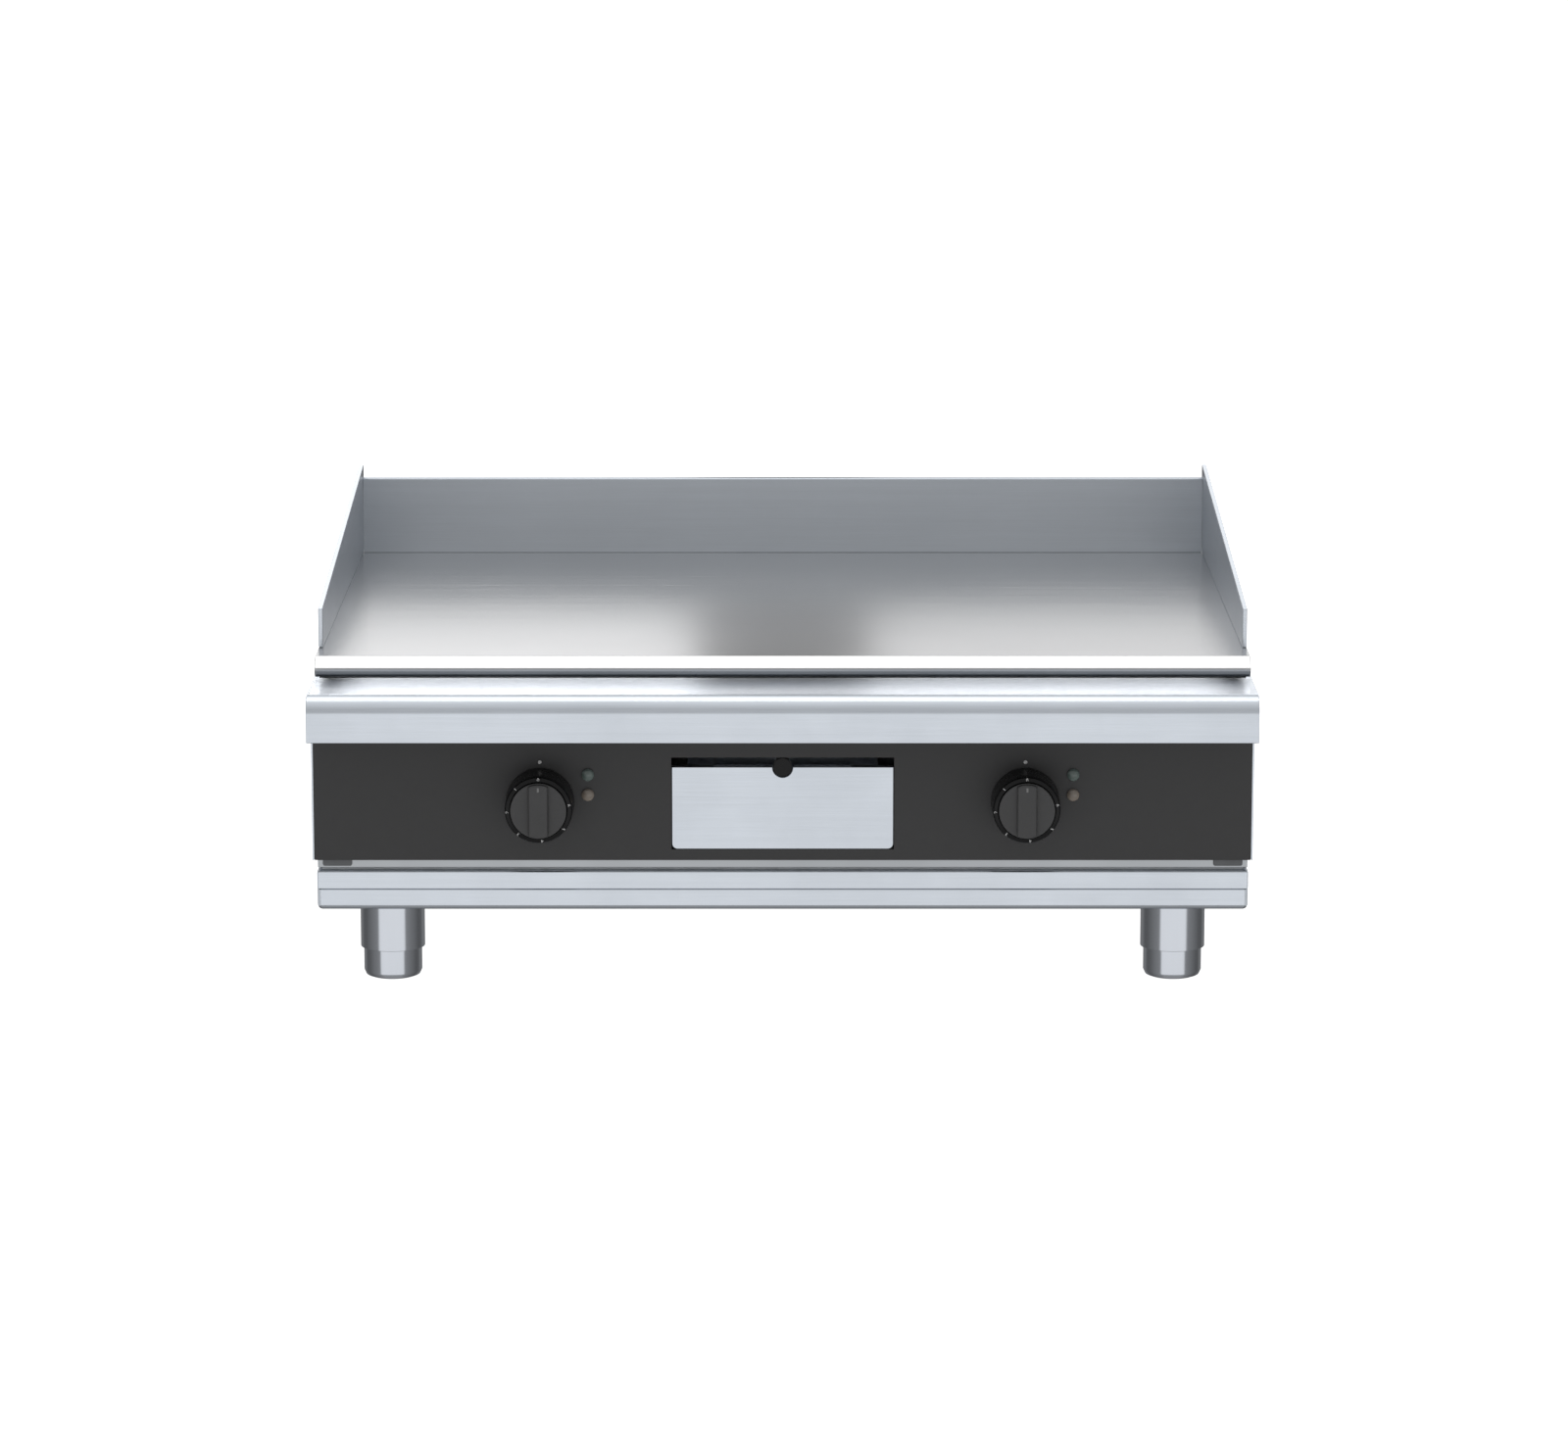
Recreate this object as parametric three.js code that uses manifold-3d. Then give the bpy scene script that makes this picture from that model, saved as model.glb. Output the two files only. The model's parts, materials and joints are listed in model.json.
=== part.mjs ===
// A 900 mm electric bench griddle, in millimetres, with +Z up.
// The origin is on the bench, under the middle of the appliance: the user stands at -Y, and +X is to the right.
import * as THREE from "three";
import { mergeVertices } from "three/addons/utils/BufferGeometryUtils.js";
import Module from "manifold-3d";

const wasm = await Module();
wasm.setup();

// ---------------------------------------------------------------- driving dimensions

const WIDTH = 900;
const DEPTH = 805;
const HALF = WIDTH / 2;
const FRONT = -DEPTH / 2;
const REAR = DEPTH / 2;
const GAP = 0.3; // clearance between pieces that touch
const SHEET = 1.5; // stainless sheet

// heights above the bench
const LEG_BOTTOM = 29;
const BASE_BOTTOM = 74;
const BASE_STEP = 94.8;
const BASE_TOP = 112;
const CHASSIS_LEDGE = 115;
const PANEL_BOTTOM = 123.5;
const APRON_BOTTOM = 247;
const SKIRT_BOTTOM = 262;
const DECK_TOP = 291.5;
const PLATE_TOP = 312.5;
const PLATE_THICKNESS = 20;
const PLATE_BOTTOM = PLATE_TOP - PLATE_THICKNESS;
const GUARD_BEND = 351;
const SPLASH_TOP = 392;
const GUARD_TIP = 404.5;

// depths
const BULLNOSE_RADIUS = 17;
const PANEL_FACE = FRONT + 50;
const PANEL_BACK = PANEL_FACE + SHEET;
const PLATE_FRONT = FRONT + 91;
const NOSE_CHAMFER = { depth: 12, drop: 10 };
const PLATE_REAR = 326;
const GUARD_FRONT = FRONT + 146;
const SPLASH_FACE = FRONT + 712;
const REAR_PANEL_FACE = 375;
const SIDE_REAR = 400.5;

// widths, as half-widths from the middle
const PANEL_HALF = 447.2;
const SIDE_SHEET = 1.2;
const PLATE_HALF = 448.3;
const GUARD_THICKNESS = 4.6;
const GUARD_INNER = PLATE_HALF - GUARD_THICKNESS;
const CHASSIS_HALF = 445;
const COVER_HALF = 445.7;
const OPENING_HALF = 412; // of the hob's cut-out under the plate

// controls and drawer
const KNOB_X = 231.4;
const KNOB_Z = 180.8;
const SPINDLE_RADIUS = 3;
const LAMP_OFFSET = 45.6;
const LAMP_HEIGHTS = { power: 206.9, heat: 187.4 };
const LAMP_HOLE_RADIUS = 5.4;
const DRAWER_HALF = 105.35;
const DRAWER_BOTTOM = 135;
const DRAWER_TOP = 214.1;
const DRAWER_FACE = PANEL_FACE - 1;
const CUT_OUT_TOP = 223.5;
const CATCH_Z = 214;
const CATCH_RADIUS = 9.2;
const TRAY_HALF = 100;
const TRAY_FRONT = -341.5;
const TRAY_LENGTH = 300;
const TRAY_BOTTOM = 138;
const TRAY_TOP = 201;
const SLOT = { half: 60, front: -295.5, rear: -281.5 }; // grease slot in the deck

// legs
const LEG_X = 376.7;
const LEG_Y = 302.5;
const LEG_RADIUS = 31;
const CUP_RADIUS = 28;
const STEM_RADIUS = 6;

// ---------------------------------------------------------------- materials

const finish = (color, roughness, metalness) =>
  new THREE.MeshStandardMaterial({ color, roughness, metalness });

const STAINLESS = () => finish(0xcdd2d8, 0.32, 1);
const BRUSHED = () => finish(0xb4b8bd, 0.4, 1);
const PLATE_STEEL = () => finish(0x9a9da1, 0.28, 1);
const ENAMEL = () => finish(0x3d3d3e, 0.55, 0);
const BLACK_PLASTIC = () => finish(0x17181a, 0.35, 0);
const ZINC = () => finish(0xa7aab0, 0.5, 1);
const BLANKET = () => finish(0xe8e3d6, 0.95, 0);
const ELEMENT = () => finish(0x5b554f, 0.6, 1);
const COPPER = () => finish(0xb87446, 0.35, 1);
const CREAM_PLASTIC = () => finish(0xd9d3c2, 0.5, 0);
const RED_PLASTIC = () => finish(0xb3241c, 0.4, 0);
const GREEN_LENS = () => finish(0x55615c, 0.15, 0);
const AMBER_LENS = () => finish(0x736a5f, 0.15, 0);

// ---------------------------------------------------------------- solids

// A closed geometry as a manifold-3d solid with its faces pointing out.
function solid(geometry) {
  geometry.deleteAttribute("normal");
  geometry.deleteAttribute("uv");
  const merged = mergeVertices(geometry, 1e-4);
  const position = merged.attributes.position.array;
  const corner = (i) => new THREE.Vector3().fromArray(position, 3 * i);
  const triangles = [];
  let volume = 0;
  for (let i = 0; i < merged.index.count; i += 3) {
    const [a, b, c] = merged.index.array.slice(i, i + 3);
    if (a === b || b === c || c === a) continue; // collapsed on a lathe's axis
    triangles.push([a, b, c]);
    volume += corner(a).dot(corner(b).cross(corner(c)));
  }
  const outward = volume < 0 ? triangles.map(([a, b, c]) => [a, c, b]) : triangles;
  const mesh = new wasm.Mesh({
    numProp: 3,
    vertProperties: position,
    triVerts: new Uint32Array(outward.flat()),
  });
  return new wasm.Manifold(mesh);
}

const join = (...solids) => solids.reduce((a, b) => a.add(b));
const cut = (body, ...tools) => tools.reduce((a, b) => a.subtract(b), body);

// A box between two limits on each axis, given in any order.
function box([x0, x1], [y0, y1], [z0, z1]) {
  const size = [x1 - x0, y1 - y0, z1 - z0].map(Math.abs);
  const geometry = new THREE.BoxGeometry(...size);
  return solid(geometry.translate((x0 + x1) / 2, (y0 + y1) / 2, (z0 + z1) / 2));
}

const AXIS_TURN = {
  x: new THREE.Matrix4().makeRotationZ(-Math.PI / 2),
  y: new THREE.Matrix4(),
  z: new THREE.Matrix4().makeRotationX(Math.PI / 2),
};

// A cylinder along an axis, from one coordinate to another on it, through the point at.
function cylinder(axis, radius, from, to, at, sides = 24) {
  const geometry = new THREE.CylinderGeometry(radius, radius, Math.abs(to - from), sides);
  geometry.applyMatrix4(AXIS_TURN[axis]);
  const centre = { x: at[0], y: at[1], z: at[2], [axis]: (from + to) / 2 };
  return solid(geometry.translate(centre.x, centre.y, centre.z));
}

const shapeOf = (points) => new THREE.Shape(points.map(([a, b]) => new THREE.Vector2(a, b)));

// An outline in Y and Z, extruded along X.
function extrudeX(shape, [x0, x1], curveSegments = 8) {
  const depth = Math.abs(x1 - x0);
  const geometry = new THREE.ExtrudeGeometry(shape, { depth, bevelEnabled: false, curveSegments });
  const turn = new THREE.Matrix4().makeBasis(
    new THREE.Vector3(0, 1, 0),
    new THREE.Vector3(0, 0, 1),
    new THREE.Vector3(1, 0, 0),
  );
  return solid(geometry.applyMatrix4(turn).translate(Math.min(x0, x1), 0, 0));
}

// An outline in X and Z, extruded along Y.
function extrudeY(shape, [y0, y1], curveSegments = 8) {
  const depth = Math.abs(y1 - y0);
  const geometry = new THREE.ExtrudeGeometry(shape, { depth, bevelEnabled: false, curveSegments });
  const turn = new THREE.Matrix4().makeRotationX(Math.PI / 2);
  return solid(geometry.applyMatrix4(turn).translate(0, Math.max(y0, y1), 0));
}

// A profile of [radius, height] turned about the vertical axis.
function turnUp(profile, sides) {
  const points = profile.map(([r, z]) => new THREE.Vector2(r, z));
  return solid(new THREE.LatheGeometry(points, sides).applyMatrix4(AXIS_TURN.z));
}

// A profile of [radius, distance in front] turned about the axis that points at the user.
function turnForward(profile, sides) {
  const points = profile.map(([r, d]) => new THREE.Vector2(r, d));
  return solid(new THREE.LatheGeometry(points, sides).rotateX(Math.PI));
}

// An open-topped tray of sheet: the outer limits, with the wall's thickness.
function tray([x0, x1], [y0, y1], [z0, z1], wall) {
  const inside = box([x0 + wall, x1 - wall], [y0 + wall, y1 - wall], [z0 + wall, z1 + 1]);
  return cut(box([x0, x1], [y0, y1], [z0, z1]), inside);
}

// ---------------------------------------------------------------- the scene graph

const griddle = new THREE.Group();

// Adds a solid as a named mesh, at a place in the appliance.
function add(name, body, material, [x, y, z] = [0, 0, 0]) {
  const { numProp, vertProperties, triVerts } = body.getMesh();
  const geometry = new THREE.BufferGeometry();
  geometry.setAttribute("position", new THREE.BufferAttribute(vertProperties, numProp));
  geometry.setIndex(new THREE.BufferAttribute(triVerts, 1));
  geometry.computeVertexNormals();
  const mesh = new THREE.Mesh(geometry, material());
  mesh.name = name;
  mesh.position.set(x, y, z);
  griddle.add(mesh);
}

const SIDES = { left: -1, right: 1 };
const eachSide = (make) => Object.entries(SIDES).forEach(([name, side]) => make(name, side));

// ---------------------------------------------------------------- hob and cooking plate

// The outline of the hob's end, drawn on the sheet's outer face or, with an inset, on its inner face.
function hobOutline(inset) {
  const centre = { y: FRONT + BULLNOSE_RADIUS, z: DECK_TOP - BULLNOSE_RADIUS };
  const open = inset ? 1 : 0; // the inner outline runs out through the open underside
  const outline = new THREE.Shape();
  outline.moveTo(FRONT + inset, APRON_BOTTOM - open);
  outline.lineTo(FRONT + inset, centre.z);
  outline.absarc(centre.y, centre.z, BULLNOSE_RADIUS - inset, Math.PI, Math.PI / 2, true);
  outline.lineTo(REAR - inset, DECK_TOP - inset);
  outline.lineTo(REAR - inset, SKIRT_BOTTOM - open);
  outline.lineTo(PANEL_FACE - GAP + open, SKIRT_BOTTOM - open);
  outline.lineTo(PANEL_FACE - GAP + open, APRON_BOTTOM - open);
  return outline;
}

function hob() {
  const shell = cut(
    extrudeX(hobOutline(0), [-HALF, HALF]),
    extrudeX(hobOutline(SHEET), [-HALF + SHEET, HALF - SHEET]),
  );
  const returnFlange = box(
    [-HALF + SHEET / 2, HALF - SHEET / 2],
    [FRONT + SHEET / 2, FRONT + 14],
    [APRON_BOTTOM, APRON_BOTTOM + SHEET],
  );
  const throughDeck = [DECK_TOP - 5, DECK_TOP + 5];
  return cut(
    join(shell, returnFlange),
    box([-OPENING_HALF, OPENING_HALF], [-272, 300], throughDeck),
    box([-SLOT.half, SLOT.half], [SLOT.front, SLOT.rear], throughDeck),
  );
}

// The plate's front edge is chamfered above and rounded under below.
function griddlePlate() {
  const under = 10;
  const outline = new THREE.Shape();
  outline.moveTo(PLATE_REAR, PLATE_BOTTOM);
  outline.lineTo(PLATE_REAR, PLATE_TOP);
  outline.lineTo(PLATE_FRONT + NOSE_CHAMFER.depth, PLATE_TOP);
  outline.lineTo(PLATE_FRONT, PLATE_TOP - NOSE_CHAMFER.drop);
  outline.absarc(PLATE_FRONT + under, PLATE_BOTTOM + under, under, Math.PI, 1.5 * Math.PI, false);
  return extrudeX(outline, [-PLATE_HALF, PLATE_HALF], 5);
}

function splashGuard(side) {
  const outline = shapeOf([
    [GUARD_FRONT, PLATE_TOP + GAP],
    [PLATE_REAR, PLATE_TOP + GAP],
    [PLATE_REAR, GUARD_TIP],
    [GUARD_FRONT, GUARD_BEND],
  ]);
  return extrudeX(outline, [side * GUARD_INNER, side * PLATE_HALF]);
}

function rearSplashback() {
  const span = [-GUARD_INNER + GAP, GUARD_INNER - GAP];
  return join(
    box(span, [SPLASH_FACE, SPLASH_FACE + SHEET], [PLATE_TOP + GAP, SPLASH_TOP]),
    box(span, [SPLASH_FACE, SPLASH_FACE + 13], [SPLASH_TOP - SHEET, SPLASH_TOP]),
    box(span, [SPLASH_FACE + 13 - SHEET, SPLASH_FACE + 13], [SPLASH_TOP - 12, SPLASH_TOP]),
  );
}

add("hob", hob(), STAINLESS);
add("griddle_plate", griddlePlate(), PLATE_STEEL);
eachSide((name, side) => add(`${name}_splash_guard`, splashGuard(side), BRUSHED));
add("rear_splashback", rearSplashback(), BRUSHED);

// ---------------------------------------------------------------- casing

// Holes through the fascia, given as the places of their centres in X and Z.
function fasciaHoles() {
  return Object.values(SIDES).flatMap((side) => [
    cylinder("y", 5.5, PANEL_FACE - 5, PANEL_BACK + 5, [side * KNOB_X, 0, KNOB_Z], 16),
    ...Object.values(LAMP_HEIGHTS).map((z) =>
      cylinder("y", LAMP_HOLE_RADIUS, PANEL_FACE - 5, PANEL_BACK + 5, [side * KNOB_X + LAMP_OFFSET, 0, z], 16),
    ),
  ]);
}

function controlPanel() {
  const top = DECK_TOP - SHEET - 2;
  const returns = PANEL_FACE + 12;
  const span = [-PANEL_HALF, PANEL_HALF];
  const face = join(
    box(span, [PANEL_FACE, PANEL_BACK], [PANEL_BOTTOM, top]),
    box(span, [PANEL_FACE, returns], [PANEL_BOTTOM, PANEL_BOTTOM + SHEET]),
    box([-PANEL_HALF, -PANEL_HALF + SHEET], [PANEL_FACE, returns], [PANEL_BOTTOM, SKIRT_BOTTOM]),
    box([PANEL_HALF - SHEET, PANEL_HALF], [PANEL_FACE, returns], [PANEL_BOTTOM, SKIRT_BOTTOM]),
  );
  const drawerCutOut = box(
    [-DRAWER_HALF - 0.85, DRAWER_HALF + 0.85],
    [PANEL_FACE - 5, PANEL_BACK + 5],
    [DRAWER_BOTTOM - 0.85, CUT_OUT_TOP],
  );
  return cut(face, drawerCutOut, ...fasciaHoles());
}

// A side panel: a thick hem at the front, the sheet, and a flange turned in at the bottom.
function sidePanel(side) {
  const outer = HALF - 0.5;
  const top = SKIRT_BOTTOM - GAP;
  const inner = outer - SIDE_SHEET;
  return join(
    box([side * (outer - 2), side * outer], [PANEL_FACE, PANEL_FACE + 8], [PANEL_BOTTOM, top]),
    box([side * inner, side * outer], [PANEL_FACE, SIDE_REAR], [PANEL_BOTTOM, top]),
    box([side * (outer - 13), side * outer], [PANEL_FACE + 14, SIDE_REAR],
      [PANEL_BOTTOM, PANEL_BOTTOM + SIDE_SHEET]),
  );
}

const GLAND = { x: 330, z: 152 };
const EARTH_STUD = { x: -380, z: 145 };
const CUTOUT = { x: 240, z: 152 };

function rearPanel() {
  const span = [REAR_PANEL_FACE - SHEET, REAR_PANEL_FACE];
  const sheet = box([-PANEL_HALF, PANEL_HALF], span, [PANEL_BOTTOM + SIDE_SHEET + GAP, SKIRT_BOTTOM + 20]);
  const louvres = [];
  for (const x of [-280, -140, 0, 140, 280])
    for (let row = 0; row < 4; row += 1)
      louvres.push(box([x - 40, x + 40], [span[0] - 5, span[1] + 5], [196 + 14 * row, 202 + 14 * row]));
  const hole = (place, radius) =>
    cylinder("y", radius, span[0] - 5, span[1] + 5, [place.x, 0, place.z], 16);
  return cut(sheet, ...louvres, hole(GLAND, 10.4), hole(EARTH_STUD, 3.4), hole(CUTOUT, 5));
}

// The casing's floor, joggled in under its edge so that a dark line shows above the plinth.
function chassisPan() {
  const y = [PANEL_FACE + 6.5, REAR_PANEL_FACE - 3];
  const top = PANEL_BOTTOM - GAP;
  const joggle = 10;
  const edge = box([-CHASSIS_HALF, CHASSIS_HALF], y, [CHASSIS_LEDGE, top]);
  const floor = box(
    [-CHASSIS_HALF + joggle, CHASSIS_HALF - joggle],
    [y[0] + joggle, y[1] - joggle],
    [BASE_TOP + GAP, CHASSIS_LEDGE + SHEET],
  );
  const insideEdge = box(
    [-CHASSIS_HALF + SHEET, CHASSIS_HALF - SHEET],
    [y[0] + SHEET, y[1] - SHEET],
    [CHASSIS_LEDGE + SHEET, top + 1],
  );
  const insideFloor = box(
    [-CHASSIS_HALF + joggle + SHEET, CHASSIS_HALF - joggle - SHEET],
    [y[0] + joggle + SHEET, y[1] - joggle - SHEET],
    [BASE_TOP + GAP + SHEET, top + 1],
  );
  return cut(join(edge, floor), insideEdge, insideFloor);
}

const FLOOR_TOP = BASE_TOP + GAP + SHEET + GAP; // where inner pieces stand

// A channel with its flanges turned in, which carries the hob and the plate.
function chassisWall(side) {
  const web = [side * 430, side * 432];
  const flange = [side * 400, side * 432];
  const y = [-334, 360];
  const top = DECK_TOP - SHEET - GAP;
  return join(
    box(web, y, [FLOOR_TOP, top]),
    box(flange, y, [FLOOR_TOP, FLOOR_TOP + 2]),
    box(flange, y, [top - 2, top]),
  );
}

// A small dark tab that locks the fascia to the chassis, with its lower corners rounded.
function panelHook() {
  const half = 14;
  const radius = 2;
  const height = 6.4;
  const outline = new THREE.Shape();
  outline.moveTo(half, 0);
  outline.lineTo(-half, 0);
  outline.absarc(-half + radius, -height + radius, radius, Math.PI, 1.5 * Math.PI, false);
  outline.absarc(half - radius, -height + radius, radius, 1.5 * Math.PI, 2 * Math.PI, false);
  return extrudeY(outline, [-1.6, 0], 3);
}

function baseCover() {
  const y = [PANEL_FACE + 3.5, REAR_PANEL_FACE - 3];
  const shell = box([-COVER_HALF, COVER_HALF], y, [BASE_STEP, BASE_TOP]);
  const inside = box(
    [-COVER_HALF + SHEET, COVER_HALF - SHEET],
    [y[0] + SHEET, y[1] - SHEET],
    [BASE_STEP - 1, BASE_TOP - SHEET],
  );
  return cut(shell, inside);
}

// The base pan is flush with the cover's sides, and its rim is stepped in to stand inside them.
function basePan() {
  const level = (inset, bottom, top) =>
    box(
      [-COVER_HALF + inset, COVER_HALF - inset],
      [PANEL_FACE + 3.5 + inset, REAR_PANEL_FACE - 3 - inset],
      [bottom, top],
    );
  const step = BASE_STEP - GAP;
  const rimInset = SHEET + GAP;
  const shell = join(level(0, BASE_BOTTOM, step), level(rimInset, step - SHEET, BASE_TOP - 4));
  const inside = join(
    level(SHEET, BASE_BOTTOM + SHEET, step - SHEET),
    level(rimInset + SHEET, BASE_BOTTOM + SHEET, BASE_TOP),
  );
  const pan = cut(shell, inside);
  const stemHoles = LEGS.map(([, x, legY]) =>
    cylinder("z", STEM_RADIUS + 2, BASE_BOTTOM - 5, BASE_BOTTOM + 5, [x, legY, 0], 12),
  );
  return cut(pan, ...stemHoles);
}

const LEGS = [
  ["front_left", -LEG_X, -LEG_Y],
  ["front_right", LEG_X, -LEG_Y],
  ["rear_left", -LEG_X, LEG_Y],
  ["rear_right", LEG_X, LEG_Y],
];

add("control_panel", controlPanel(), ENAMEL);
eachSide((name, side) => add(`${name}_side_panel`, sidePanel(side), STAINLESS));
add("rear_panel", rearPanel(), BRUSHED);
add("chassis_pan", chassisPan(), BRUSHED);
eachSide((name, side) => add(`${name}_chassis_wall`, chassisWall(side), ZINC));
eachSide((name, side) =>
  add(`${name}_panel_hook`, panelHook(), BLACK_PLASTIC,
    [side * 426, PANEL_FACE + 6.5 - GAP, PANEL_BOTTOM - GAP]),
);
add("base_cover", baseCover(), STAINLESS);
add("base_pan", basePan(), STAINLESS);

// ---------------------------------------------------------------- legs and levelling feet

// A leg tube: open below for the foot, with the threaded insert across its top.
function legTube() {
  const bore = LEG_RADIUS - 2;
  const insertBottom = 66;
  const top = BASE_BOTTOM - GAP;
  const thread = STEM_RADIUS + GAP;
  return turnUp(
    [
      [thread, insertBottom], [bore, insertBottom], [bore, LEG_BOTTOM], [LEG_RADIUS, LEG_BOTTOM],
      [LEG_RADIUS, top], [thread, top], [thread, insertBottom],
    ],
    24,
  );
}

// A foot cup, which turns on the bench end of its stem and slides up inside the leg tube.
function footCup() {
  const socket = STEM_RADIUS + GAP;
  return turnUp(
    [
      [0, 0], [CUP_RADIUS - 6, 0], [CUP_RADIUS - 2, 1.5], [CUP_RADIUS, 6], [CUP_RADIUS, 52],
      [CUP_RADIUS - 2, 52], [CUP_RADIUS - 2, 14], [socket, 14], [socket, 4], [0, 4],
    ],
    24,
  );
}

for (const [place, x, y] of LEGS) {
  add(`${place}_leg`, legTube(), STAINLESS, [x, y, 0]);
  const stem = cylinder("z", STEM_RADIUS, 4 + GAP, 104, [0, 0, 0], 16);
  add(`${place}_foot_stem`, stem, ZINC, [x, y, 0]);
  add(`${place}_foot`, footCup(), BRUSHED, [x, y, 0]);
}

// ---------------------------------------------------------------- grease drawer

function drawerFront() {
  const z = [DRAWER_BOTTOM, DRAWER_TOP];
  const returns = [DRAWER_FACE, TRAY_FRONT - GAP];
  const rim = (x, height) => box(x, returns, height);
  const corner = 5;
  const outline = new THREE.Shape();
  outline.moveTo(DRAWER_HALF, z[1]);
  outline.lineTo(-DRAWER_HALF, z[1]);
  outline.absarc(-DRAWER_HALF + corner, z[0] + corner, corner, Math.PI, 1.5 * Math.PI, false);
  outline.absarc(DRAWER_HALF - corner, z[0] + corner, corner, 1.5 * Math.PI, 2 * Math.PI, false);
  const notchRadius = CATCH_RADIUS + 0.8;
  return cut(
    join(
      extrudeY(outline, [DRAWER_FACE, DRAWER_FACE + SHEET], 4),
      rim([-DRAWER_HALF + corner, DRAWER_HALF - corner], [z[0], z[0] + SHEET]),
      rim([-DRAWER_HALF, DRAWER_HALF], [z[1] - SHEET, z[1]]),
      rim([-DRAWER_HALF, -DRAWER_HALF + SHEET], [z[0] + corner, z[1]]),
      rim([DRAWER_HALF - SHEET, DRAWER_HALF], [z[0] + corner, z[1]]),
    ),
    cylinder("y", notchRadius, DRAWER_FACE - 5, TRAY_FRONT, [0, 0, CATCH_Z], 32),
  );
}

function greaseDrawer() {
  return tray(
    [-TRAY_HALF, TRAY_HALF],
    [TRAY_FRONT, TRAY_FRONT + TRAY_LENGTH],
    [TRAY_BOTTOM, TRAY_TOP],
    SIDE_SHEET,
  );
}

// The channel that the drawer slides in: two walls on the chassis floor, a shelf and two top lips.
function drawerHousing() {
  const y = [TRAY_FRONT + 7.5, TRAY_FRONT + TRAY_LENGTH + 8];
  const wall = [TRAY_HALF + 2.5, TRAY_HALF + 3.7];
  const lipBottom = TRAY_TOP + 2;
  const shelf = [TRAY_BOTTOM - GAP - SIDE_SHEET, TRAY_BOTTOM - GAP];
  const side = (sign) => join(
    box([sign * wall[0], sign * wall[1]], y, [FLOOR_TOP, lipBottom + SIDE_SHEET]),
    box([sign * (TRAY_HALF - 8), sign * wall[1]], y, [lipBottom, lipBottom + SIDE_SHEET]),
  );
  return join(side(-1), side(1), box([-wall[1], wall[1]], y, shelf));
}

// A dark puck in the notch of the drawer's face, on an arm fixed behind the fascia.
function drawerCatch() {
  const armFront = PANEL_BACK + GAP;
  return join(
    cylinder("y", CATCH_RADIUS, PANEL_FACE - 0.3, armFront + 2, [0, 0, CATCH_Z], 24),
    box([-6, 6], [armFront, armFront + 2], [CATCH_Z, CATCH_Z + 24]),
  );
}

// From the slot in the deck down to the drawer: a flanged square tube, open at both ends.
function greaseChute() {
  const x = [-SLOT.half - 6, SLOT.half + 6];
  const y = [SLOT.front - 2.5, SLOT.rear + 2.5];
  const top = DECK_TOP - SHEET - GAP;
  const bottom = TRAY_TOP + 5;
  return cut(
    join(
      box(x, y, [bottom, top]),
      box([x[0] - 6, x[1] + 6], [y[0] - 5, y[1] + 5], [top - 1, top]),
    ),
    box([x[0] + 1, x[1] - 1], [y[0] + 1, y[1] - 1], [bottom - 5, top + 5]),
  );
}

add("drawer_front", drawerFront(), STAINLESS);
add("grease_drawer", greaseDrawer(), BRUSHED);
add("drawer_housing", drawerHousing(), ZINC);
add("drawer_catch", drawerCatch(), BLACK_PLASTIC);
add("grease_chute", greaseChute(), BRUSHED);

// ---------------------------------------------------------------- knobs, lamps and thermostats

const KNOB = {
  back: 1.2,
  baseRadius: 32.8,
  shoulder: 35,
  shoulderRadius: 32.2,
  faceRadius: 26.8,
  face: 45.5,
  gripTop: 50.5,
  gripWidth: 19,
};

function knob() {
  const bore = SPINDLE_RADIUS + GAP;
  const body = turnForward(
    [
      [0, 30], [bore, 30], [bore, 2], [8, 2], [8, 26], [28.5, 26],
      [29.5, KNOB.back], [KNOB.baseRadius, KNOB.back], [KNOB.shoulderRadius, KNOB.shoulder],
      [KNOB.faceRadius, KNOB.shoulder], [KNOB.faceRadius, KNOB.face], [0, KNOB.face],
    ],
    32,
  );
  const half = KNOB.gripWidth / 2;
  const bar = box([-half, half], [-KNOB.gripTop, -KNOB.face + 4], [-40, 40]);
  return join(body, bar.intersect(cylinder("y", KNOB.faceRadius, -60, 0, [0, 0, 0], 32)));
}

// The numbered ring round the knob's face, pressed on to its shoulder.
function dialRing() {
  const bore = KNOB.faceRadius + GAP;
  const back = KNOB.shoulder + GAP;
  return turnForward(
    [
      [bore, back], [KNOB.shoulderRadius, back], [KNOB.shoulderRadius - 0.2, back + 5],
      [bore, KNOB.face - GAP], [bore, back],
    ],
    32,
  );
}

function lamp() {
  return turnForward(
    [[0, -30], [4.9, -30], [4.9, GAP], [6, GAP], [6, 1.6], [4.4, 2.9], [2.2, 3.5], [0, 3.7]],
    16,
  );
}

// A capillary thermostat's body, with the bore that its spindle turns in.
function thermostat() {
  const front = SHEET + GAP;
  return cut(
    join(
      box([-24, 24], [front, front + 22], [-22, 22]),
      box([-20, 20], [front + 22, front + 38], [-18, 18]),
      box([-17, -11], [front + 38, front + 46], [-12, -4]),
      box([11, 17], [front + 38, front + 46], [-12, -4]),
    ),
    cylinder("y", SPINDLE_RADIUS + GAP, front - 5, front + 13, [0, 0, 0], 16),
  );
}

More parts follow.
